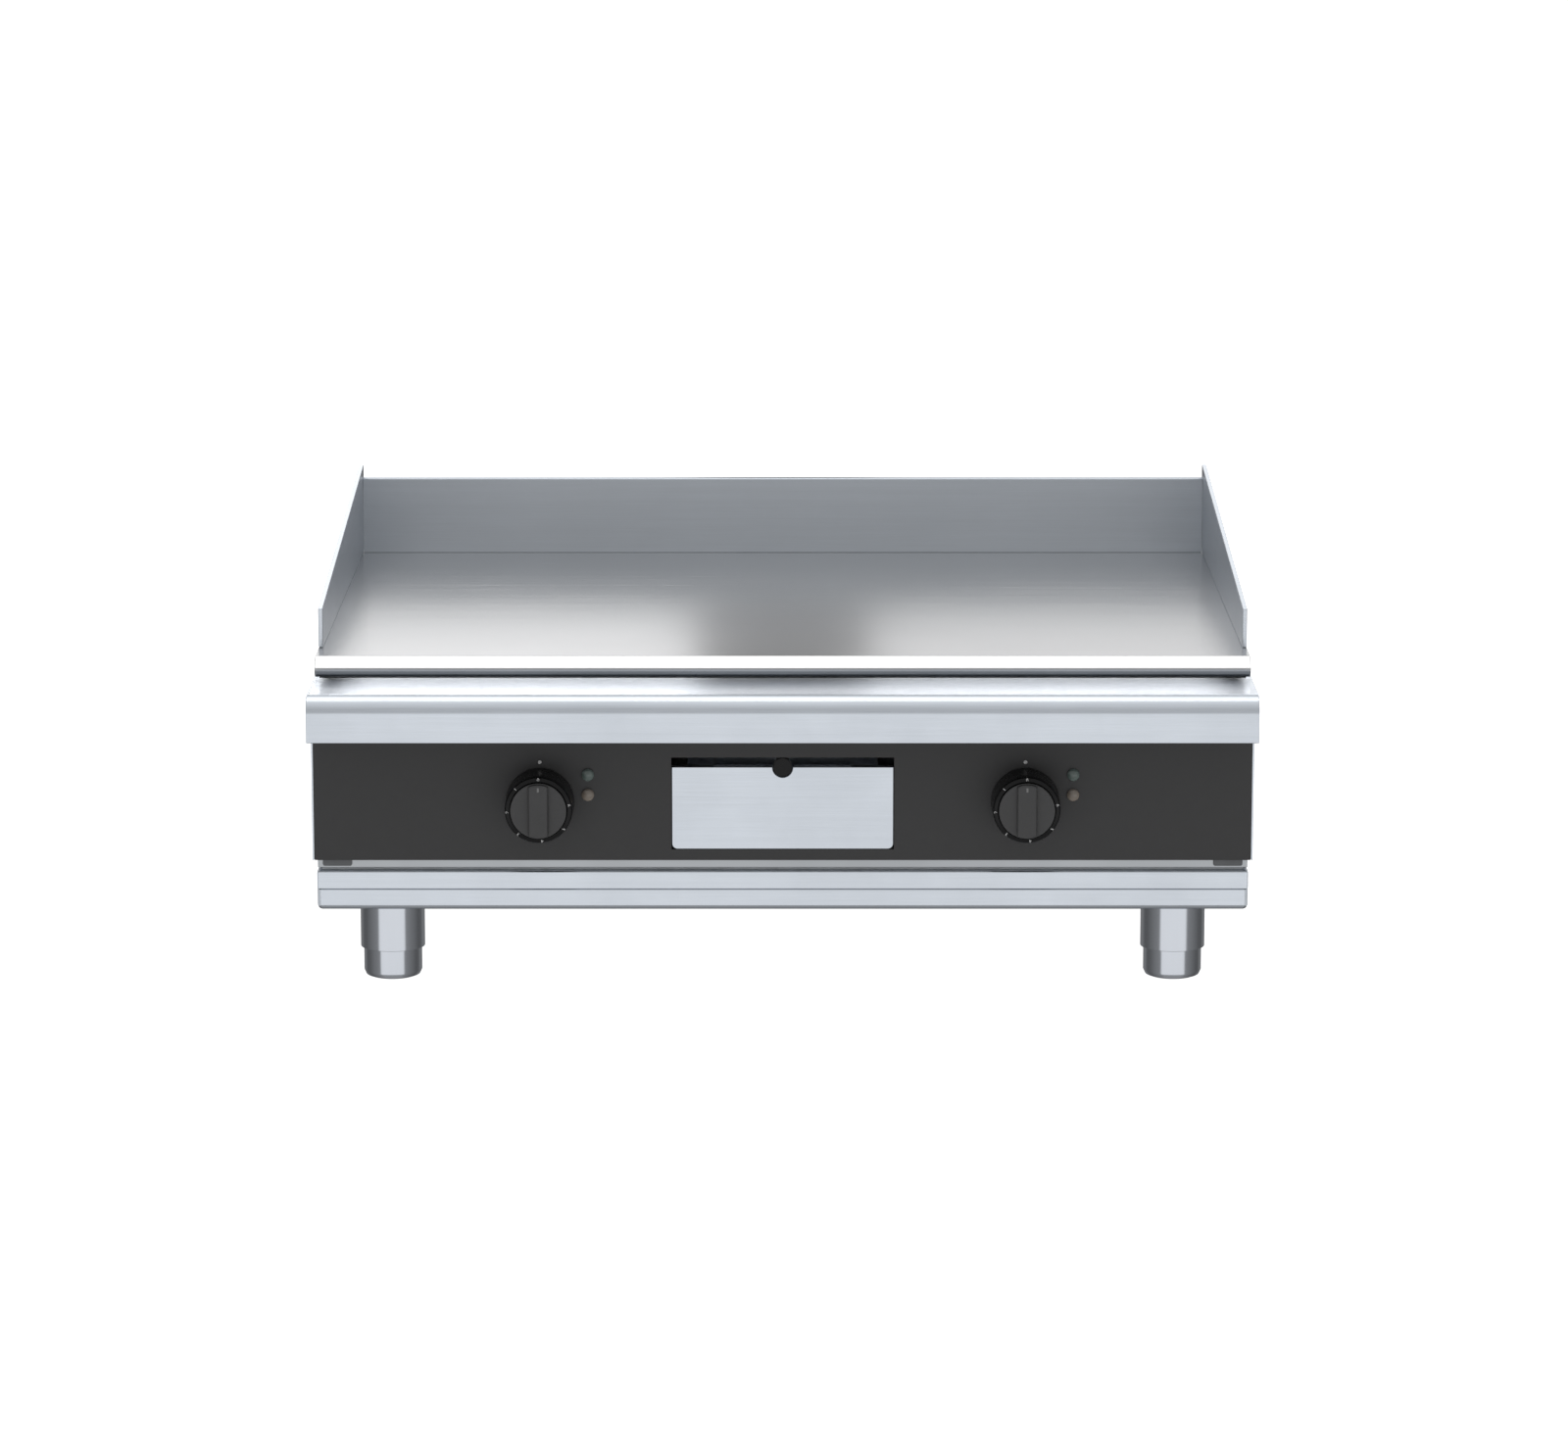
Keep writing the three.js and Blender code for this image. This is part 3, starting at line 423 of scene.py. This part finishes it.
def splashback():
    """A sheet with its top folded back and down, and a weld along its lower edge."""
    low, high = (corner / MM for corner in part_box("rear_splashback"))
    bend, tail, hem = 1.9, 4, 12
    sheet = prism(
        "rear_splashback_sheet",
        [
            (low.y, low.z), (low.y + SHEET, low.z), (low.y + SHEET, high.z - bend),
            *arc((low.y + bend, high.z - bend), bend - SHEET, 180, 90, 4),
            *arc((high.y - tail, high.z - tail), tail - SHEET, 90, 0, 6),
            (high.y - SHEET, high.z - hem), (high.y, high.z - hem),
            *arc((high.y - tail, high.z - tail), tail, 0, 90, 8),
            *arc((low.y + bend, high.z - bend), bend, 90, 180, 6),
        ],
        low.x, high.x, "x",
    )
    # the splashback takes the darker copy of the stainless, which paints shade on it
    place_piece(sheet, "guard_steel", "root", "rear_splashback")
    plate_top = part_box("griddle_plate")[1].z / MM
    bottom, start, leg = plate_top + 0.02, low.y + 0.4, 1.8
    weld = prism(
        "splashback_weld",
        [
            (start, bottom), (low.y + SHEET + leg, bottom), (low.y + SHEET, low.z + leg),
            (low.y + SHEET - 0.6, low.z + 0.2), (start, low.z + 0.2),
        ],
        low.x + 0.5, high.x - 0.5, "x",
    )
    place_piece(weld, "dark_steel_and_nose_shade", "root", slot="guard_steel")


def plate_seal():
    """A bead of silicone between the deck and the plate, set back under the plate's nose, whose dark grey
    also paints the shade line under the nose.
    """
    low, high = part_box("griddle_plate")
    front, half = low.y / MM, high.x / MM
    deck_top = low.z - MM
    radius, depth, end_gap = 4.2, 16, 4
    seal_and_shade = prism(
        "plate_seal",
        [
            (front + depth, 0.02),
            *arc((front + 9.5, radius), radius, -90, 0, 6),
            (front + depth, radius),
        ],
        -half + end_gap, half - end_gap, "x", (0, 0, deck_top),
    )
    return place_piece(seal_and_shade, "seal_and_shade", "root", slot="black_plastic")


hob = refine("hob", 0.8)
# the plate's downward faces take the dark steel: its unground underside, and painted shade on the lower
# round of the nose
plate = refine("griddle_plate", 0.7, edges=("dark_steel_and_nose_shade", lambda normal: normal.z < -0.3))
# painted shade: the guards' side faces take the darker stainless and their edges the brighter one, by the
# way each face points
for side in SIDES:
    refine(
        f"{side}_splash_guard", 1.1, "guard_side_shade", segments=4,
        edges=("stainless_side", lambda normal: abs(normal.x) < 0.5),
    )
splashback()
bead = plate_seal()

# ---------------------------------------------------------------- casing

REAR_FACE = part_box("rear_panel")[1].y / MM
SCREW_ROWS = {"high": 252, "low": 134}


def strip_round(name, inset, thickness, z_span, node):
    """A flat ring of strip that follows a node's outline at an inset, between two heights."""
    low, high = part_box(node)
    x, y0, y1 = high.x / MM - inset, low.y / MM + inset, high.y / MM - inset
    between = (y0 + thickness, y1 - thickness)
    parts = []
    for (left, right), (front, rear) in (
        ((-x, x), (y0, y0 + thickness)),
        ((x - thickness, x), between),
        ((-x, x), (y1 - thickness, y1)),
        ((-x, -x + thickness), between),
    ):
        outline = [(left, front), (right, front), (right, rear), (left, rear)]
        parts.append(prism("strip", outline, *z_span, "z", width=0.3))
    return joined(name, parts)


def base():
    """The plinth's folded cover and pan, and the gasket between the cover and the casing."""
    low, high = (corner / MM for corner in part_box("base_cover"))
    cover = sheet_pan(
        "base_cover_sheet", high.x, (low.y, high.y), (low.z, high.z), 1.8, open_top=False
    )
    place_piece(cover, "stainless", "root", "base_cover")
    joint, cover_top = low.z - GAP, high.z
    low, high = (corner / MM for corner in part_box("base_pan"))
    pan = sheet_pan(
        "base_pan_sheet", high.x, (low.y, high.y), (low.z, joint), 5,
        rim=(SHEET + GAP, high.z - joint),
    )
    place_piece(pan, "stainless", "root", "base_pan")
    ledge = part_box("chassis_pan")[0].z / MM + 2.6
    gasket = strip_round("plinth_gasket", 4, 5, (cover_top + 0.05, ledge), "chassis_pan")
    place_piece(gasket, "gasket", "root", slot="black_plastic")


def louvres():
    """Pressed hoods over the slots in the rear panel, in five columns of four."""
    column_pitch, row_pitch, lowest, half_width = 140, 14, 196, 42
    hoods = []
    for column in range(-2, 3):
        for row in range(4):
            x, slot_low = column_pitch * column, lowest + row_pitch * row
            profile = [
                (REAR_FACE, slot_low + 8.4), (REAR_FACE + 2.8, slot_low + 2.2),
                (REAR_FACE + 2.8, slot_low + 1.0), (REAR_FACE + 1.7, slot_low + 1.0),
                (REAR_FACE + 0.02, slot_low + 6.4),
            ]
            hoods.append(prism("hood", profile, x - half_width, x + half_width, "x", width=0.35))
    place_piece(joined("louvre_hoods", hoods), "dull_and_shaded_stainless", "root", slot="stainless")


def screw_head(x, y, z, turn, radius=3.6, height=2.1):
    """A pan head facing +Z before its turn, and on its top a thin dark cross: painted shade that stands
    for a cross-shaped hollow. Millimetres.
    """
    head = lathe(
        "head",
        [
            (0, 0), (radius, 0), (radius, height * 0.25), (radius * 0.86, height * 0.66),
            (radius * 0.5, height), (0, height),
        ],
        (0, 0, 0), segments=32,
    )
    arm, half = radius * 0.52, radius * 0.12
    cross = [
        (half, half), (arm, half), (arm, -half), (half, -half), (half, -arm), (-half, -arm),
        (-half, -half), (-arm, -half), (-arm, half), (-half, half), (-half, arm), (half, arm),
    ]
    # the cross is a flat dark mark laid on the head, painted shade for the hollow of the drive
    recess_shade = prism("recess_shade", cross, height, height + 0.04, "z")
    place = Matrix.Translation(Vector((x, y, z)) * MM) @ turn
    for obj in (head, recess_shade):
        obj.matrix_world = place
    return head, recess_shade


def screws():
    """The heads of the casing's screws, in two rows on the back and one on each side."""
    to_back = Matrix.Rotation(math.radians(-90), 4, "X")
    rows = {"high": (-432, -210, 210, 432), "low": (-432, -140, 140, 432)}
    fixings = [
        screw_head(x, REAR_FACE, SCREW_ROWS[row], to_back) for row, places in rows.items() for x in places
    ]
    side_face, radius, height = 449.5, 4.2, 0.4
    for sign in SIDES.values():
        outward = Matrix.Rotation(math.radians(90 * sign), 4, "Y")
        for y in (-318, 20, 370):
            fixings.append(
                screw_head(side_face * sign, y, SCREW_ROWS["low"], outward, radius, height)
            )
    heads, recess_shades = zip(*fixings)
    place_piece(joined("panel_screws", heads), "zinc_steel", "root", slot="zinc_steel")
    place_piece(joined("screw_recess_shades", recess_shades), "seal_and_shade", "root", slot="black_plastic")


def rating_plate():
    """A blank plate on the back, held by four rivets."""
    left, right, bottom, top, inset = -235, -165, 140, 178, 4
    corners = [(left, bottom), (right, bottom), (right, top), (left, top)]
    parts = [prism("label", corners, REAR_FACE + 0.02, REAR_FACE + 0.5, "y", width=0.15)]
    rivet = [(0, 1.3), (1.0, 1.1), (1.7, 0.5), (1.7, 0), (0, 0)]
    for x in (left + inset, right - inset):
        for z in (bottom + inset, top - inset):
            parts.append(lathe("rivet", rivet, Vector((x, REAR_FACE + 0.4, z)) * MM, "back", 24))
    place_piece(joined("rating_plate", parts), "zinc_steel", "root", slot="zinc_steel")


refine("control_panel", 0.5)
for side in SIDES:
    refine(f"{side}_side_panel", 0.5, "stainless_side")
    refine(f"{side}_chassis_wall", 0.4)
    refine(f"{side}_panel_hook", 0.4, "hook")
refine("rear_panel", 0.4)
# painted shade: the chassis pan takes the darker stainless, as it sits back in the control panel's shadow
refine("chassis_pan", 0.5, "dull_and_shaded_stainless")
base()
louvres()
screws()
rating_plate()

# ---------------------------------------------------------------- legs and feet

STEM_HOLE = 6.3
LEG_RADIUS = 31
LEG_BORE = 29
CUP_RADIUS = 28
CUP_BORE = 26


def leg_and_foot(corner):
    """A leg's tube with the web that holds the stem, and the foot's cup inside the tube."""
    low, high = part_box(f"{corner}_leg")
    centre = ((low.x + high.x) / 2, (low.y + high.y) / 2, 0)
    bottom, top, web = low.z / MM, high.z / MM, 66
    leg = lathe(
        f"{corner}_leg_tube",
        [
            (STEM_HOLE, web), (LEG_BORE, web), (LEG_BORE, bottom), (LEG_RADIUS, bottom),
            (LEG_RADIUS, top), (STEM_HOLE, top), (STEM_HOLE, web),
        ],
        centre, width=0.5,
    )
    place_piece(leg, "turned", "root", f"{corner}_leg")
    rim, floor_top, stem_bottom = 52, 14, 4
    cup = lathe(
        f"{corner}_foot_cup",
        [
            (0, 0), (22, 0), (26, 1.5), (CUP_RADIUS, 6), (CUP_RADIUS, rim), (CUP_BORE, rim),
            (CUP_BORE, floor_top), (STEM_HOLE, floor_top), (STEM_HOLE, stem_bottom), (0, stem_bottom),
        ],
        centre, width=0.5,
    )
    place_piece(cup, "turned", BODY_OF[f"{corner}_foot"], f"{corner}_foot")


for corner in CORNERS:
    leg_and_foot(corner)

# ---------------------------------------------------------------- grease drawer

refine("drawer_front", 0.45)
refine("grease_drawer", 0.4)
refine("drawer_housing", 0.4)
refine("drawer_catch", 0.5)
refine("grease_chute", 0.4)

# ---------------------------------------------------------------- controls

FACING_FRONT = Matrix.Rotation(math.radians(90), 4, "X")
TRAVEL = next(j["range_deg"][1] for j in frame["joints"] if j["name"] == "left_knob_turn")
DIAL_STEPS = 6
KNOB_SEGMENTS = 128
KNOB_BORE = 3.3
SKIRT_RADIUS = 32.2
DIAL_BORE = 27.1
DISC_RADIUS = 26.7
GRIP_RADIUS = 26.0
GRIP_HALF = 9.4
INDEX_HEIGHT = 38.3  # of the index dot above the knob's axis


def knob(side, axis, body):
    """The skirt and the dial round it, both black, and the grey disc with its grip bar."""
    skirt = lathe(
        f"{side}_knob_skirt",
        [
            (KNOB_BORE, 30), (KNOB_BORE, 2), (8, 2), (8, 26), (28.5, 26), (29.5, 1.2), (32.8, 1.2),
            (32.8, 4), (SKIRT_RADIUS, 35), (26.5, 35), (26.5, 44.1), (KNOB_BORE, 44.1), (KNOB_BORE, 30),
        ],
        axis, "front", KNOB_SEGMENTS, 0.5,
    )
    place_piece(skirt, "black_plastic", body, f"{side}_knob")
    ring = lathe(
        f"{side}_dial",
        [
            (DIAL_BORE, 35.3), (SKIRT_RADIUS, 35.3), (32.0, 40.4), (31.0, 42.3), (27.7, 43.2),
            (DIAL_BORE, 42.6), (DIAL_BORE, 35.3),
        ],
        axis, "front", KNOB_SEGMENTS, 0.25,
    )
    place_piece(ring, "black_plastic", body, f"{side}_dial_ring")
    disc = lathe(
        f"{side}_knob_disc",
        [(0, 44.2), (DISC_RADIUS, 44.2), (DISC_RADIUS, 44.9), (26.1, 45.5), (0, 45.5)],
        axis, "front", KNOB_SEGMENTS, 0.2,
    )
    half_angle = math.degrees(math.asin(GRIP_HALF / GRIP_RADIUS))
    outline = (
        arc((0, 0), GRIP_RADIUS, 90 - half_angle, 90 + half_angle, 10)
        + arc((0, 0), GRIP_RADIUS, 270 - half_angle, 270 + half_angle, 10)
    )
    bar = prism(f"{side}_grip", outline, -50.4, -45.1, "y", axis, 2.2, 6)
    place_piece(joined(f"{side}_knob_cap", [disc, bar]), "knob_face", body, slot="black_plastic")


def numeral(text, height, matrix):
    """A printed numeral as a thin mesh, centred on the matrix's origin and facing its +Z."""
    curve = bpy.data.curves.new("numeral", "FONT")
    curve.body = text
    curve.size = height * MM
    curve.extrude = 0.04 * MM
    curve.align_x = "CENTER"
    curve.align_y = "CENTER"
    obj = bpy.data.objects.new("numeral", curve)
    scene.collection.objects.link(obj)
    obj.matrix_world = matrix
    return obj


def printing(side, axis, body):
    """The dial's numbers and the grip's pointer, whose grey is partly a painted highlight, and the index
    dot on the fascia.
    """
    radius, forward, height = 29.4, 42.95, 4.6
    marks = []
    for step in range(DIAL_STEPS + 1):
        turn = math.radians(TRAVEL * step / DIAL_STEPS)
        spot = axis + Vector(
            (-radius * MM * math.sin(turn), -forward * MM, radius * MM * math.cos(turn))
        )
        upright = Matrix.Translation(spot) @ Matrix.Rotation(-turn, 4, "Y") @ FACING_FRONT
        marks.append(numeral(str(step), height, upright))
    stripe = [(-0.9, 19.2), (0.9, 19.2), (0.9, 23.2), (-0.9, 23.2)]
    # the pointer's grey stands partly for the highlight on the grip's rounded top end: painted highlight
    pointer = prism(f"{side}_pointer", stripe, -50.46, -50.3, "y", axis)
    place_piece(pointer, "pointer", body, slot="cream_plastic")
    numbers = joined(f"{side}_dial_numbers", marks)
    place_piece(numbers, "marking", body, slot="cream_plastic")
    dot = lathe(
        f"{side}_index_dot", [(0, 0), (1.8, 0), (1.8, 0.12), (0, 0.12)],
        axis + Vector((0, 0, INDEX_HEIGHT * MM)), "front", 32,
    )
    place_piece(dot, "marking", "root", slot="cream_plastic")


def lamp(name, lens, fascia_y):
    """A domed lens with a rim that rests on the fascia."""
    low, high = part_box(f"{name}_lamp")
    jewel = lathe(
        f"{name}_jewel",
        [
            (0, -30), (4.9, -30), (4.9, 0.3), (6, 0.3), (6, 1.2), (5.8, 1.5),
            (5.2, 2.1), (4.4, 2.7), (3.2, 3.2), (1.7, 3.6), (0, 3.7),
        ],
        Vector(((low.x + high.x) / 2, fascia_y, (low.z + high.z) / 2)), "front", 48,
    )
    place_piece(jewel, lens, "root", f"{name}_lamp")


def controls(side):
    low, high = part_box(f"{side}_spindle")
    axis = Vector(((low.x + high.x) / 2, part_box("control_panel")[0].y, (low.z + high.z) / 2))
    body = BODY_OF[f"{side}_knob"]
    knob(side, axis, body)
    printing(side, axis, body)
    lamp(f"{side}_power", "green_lens", axis.y)
    lamp(f"{side}_heat", "amber_lens", axis.y)


for side in SIDES:
    controls(side)

# ---------------------------------------------------------------- everything else

done = {n for o in scene.objects for n in o.get("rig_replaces", [])}
for node in frame["nodes"]:
    if node not in done:
        refine(node, 0.3)

# ---------------------------------------------------------------- studio

# the floor lies just out of reach of the feet when they are screwed right out
FOOT_TRAVEL = next(
    j["range_m"][1] for j in frame["joints"] if j["name"] == "front_left_foot_travel"
)
FLOOR_CENTRE = (0, 0, -FOOT_TRAVEL - 0.0005)
STUDIO_RADIUS, STUDIO_HEIGHT = 26000, 30000
floor = lathe("studio_floor", [(STUDIO_RADIUS, 0), (0, 0)], FLOOR_CENTRE, segments=64)
backdrop = lathe(
    "studio_backdrop",
    [(STUDIO_RADIUS, 0), (STUDIO_RADIUS, STUDIO_HEIGHT), (0, STUDIO_HEIGHT)],
    FLOOR_CENTRE, segments=64,
)
for obj, strength in ((floor, 0.92), (backdrop, 1.0)):
    material, n, shader, place = principled(obj.name + "_paper", (0.9, 0.9, 0.9), 0.9)
    shader.inputs["Emission Color"].default_value = (1, 1, 1, 1)
    shader.inputs["Emission Strength"].default_value = strength
    shader.inputs["Specular IOR Level"].default_value = 0
    obj.data.materials.append(material)
    obj.visible_glossy = False
backdrop.visible_diffuse = False
backdrop.visible_shadow = False


def softbox(name, centre, size, radiance, target):
    """A rectangular light of one radiance, whatever its size, which the camera doesn't see."""
    data = bpy.data.lights.new(name, "AREA")
    data.shape = "RECTANGLE"
    data.size, data.size_y = size
    data.energy = radiance * math.pi * size[0] * size[1]
    light = bpy.data.objects.new(name, data)
    light.location = centre
    aim = Vector(target) - Vector(centre)
    light.rotation_euler = aim.to_track_quat("-Z", "Y").to_euler()
    light.visible_camera = False
    scene.collection.objects.link(light)
    return light


def light_behind(name, x, width, radiance):
    y, z, height = 1.5, 1.02, 1.14
    return softbox(name, (x, y, z), (width, height), radiance, (x, 0, z))


def light_above(name, y, depth, radiance):
    softbox(name, (0, y, 2.6), (3.0, depth), radiance, (0, y, 0))


back_lights = [
    light_behind("back_left", -0.86, 1.5, 0.98),
    light_behind("back_right", 0.86, 1.5, 0.76),
]
light_above("overhead", -0.16, 0.8, 1.55)
light_above("overhead_rear", 0.87, 1.26, 0.6)

# a low light at each side for the steel casing alone, half of it below the floor, which lets it by
sides = bpy.data.collections.new("sides")
for name in (
    "left_side_panel_finish", "right_side_panel_finish", "left_splash_guard_finish",
    "right_splash_guard_finish", "hob_finish", "griddle_plate_finish", "base_cover_sheet",
    "base_pan_sheet", "chassis_pan_finish", "panel_screws",
):
    sides.objects.link(bpy.data.objects[name])
ground = bpy.data.collections.new("ground")
ground.objects.link(floor)
for sign in SIDES.values():
    low_light = softbox("side_low", (2.4 * sign, 0, 0), (3.6, 2.4), 0.42, (0, 0, 0))
    low_light.light_linking.receiver_collection = sides
    low_light.light_linking.blocker_collection = ground
for link in ground.collection_objects:
    link.light_linking.link_state = "EXCLUDE"

# faint fills behind for the hob alone, one of them in the gap between the two lights
deck = bpy.data.collections.new("deck")
deck.objects.link(hob)
for width, strength in ((0.22, 0.12), (3.2, 0.07)):
    fill = light_behind("back_fill", 0, width, strength)
    fill.light_linking.receiver_collection = deck
    back_lights.append(fill)

# the plate and the dark bead under its nose cast no shadow from the lights behind
unshaded = bpy.data.collections.new("unshaded")
for obj in (plate, bead):
    unshaded.objects.link(obj)
for light in back_lights:
    light.light_linking.blocker_collection = unshaded
for link in unshaded.collection_objects:
    link.light_linking.link_state = "EXCLUDE"

# the surround is brighter or darker with its direction: azimuth from the front, and elevation, in degrees
world = bpy.data.worlds.new("studio_surround")
scene.world = world
world.use_nodes = True
world.node_tree.nodes.clear()
w = Nodes(world.node_tree)
direction = w.add("ShaderNodeTexCoord").outputs["Generated"]
axes = w.add("ShaderNodeSeparateXYZ", {0: direction})
x, y, z = (axes.outputs[i] for i in range(3))
bearing = w.math("ARCTAN2", x, w.math("MULTIPLY", y, -1))
azimuth = w.math("MULTIPLY", w.math("ABSOLUTE", bearing), 180 / math.pi)
elevation = w.math("MULTIPLY", w.math("ARCSINE", z), 180 / math.pi)
front = w.ramp(azimuth, 52, 44, 0, 1, smooth=True)
behind = w.ramp(azimuth, 120, 140, 0, 1, smooth=True)
level = w.math(
    "ADD", w.ramp(elevation, -7, 2, 0.86, 0.5, smooth=True), w.ramp(elevation, 24, 80, 0.0, 0.36)
)
ahead = w.mix(w.ramp(elevation, -30, -20, smooth=True), (0.31, 0.31, 0.31, 1), level)
beside = w.math(
    "ADD", w.ramp(elevation, 10, 60, 0.11, 0.42, smooth=True), w.ramp(azimuth, 55, 105, 0.13, 0.0)
)
back = w.ramp(elevation, 0, 60, 0.2, 0.5)
radiance = w.mix(behind, w.mix(front, beside, ahead), back)
background = w.add("ShaderNodeBackground", {"Color": radiance, "Strength": 1.0})
output = w.add("ShaderNodeOutputWorld")
w.tree.links.new(background.outputs[0], output.inputs[0])

camera_data = bpy.data.cameras.new("camera")
camera_data.sensor_width = 36
camera_data.lens = 136.6
camera = bpy.data.objects.new("camera", camera_data)
camera.location = (0.0013, -5.9105, 1.337)
camera.rotation_euler = (math.radians(79.0), 0, 0)
scene.collection.objects.link(camera)
scene.camera = camera
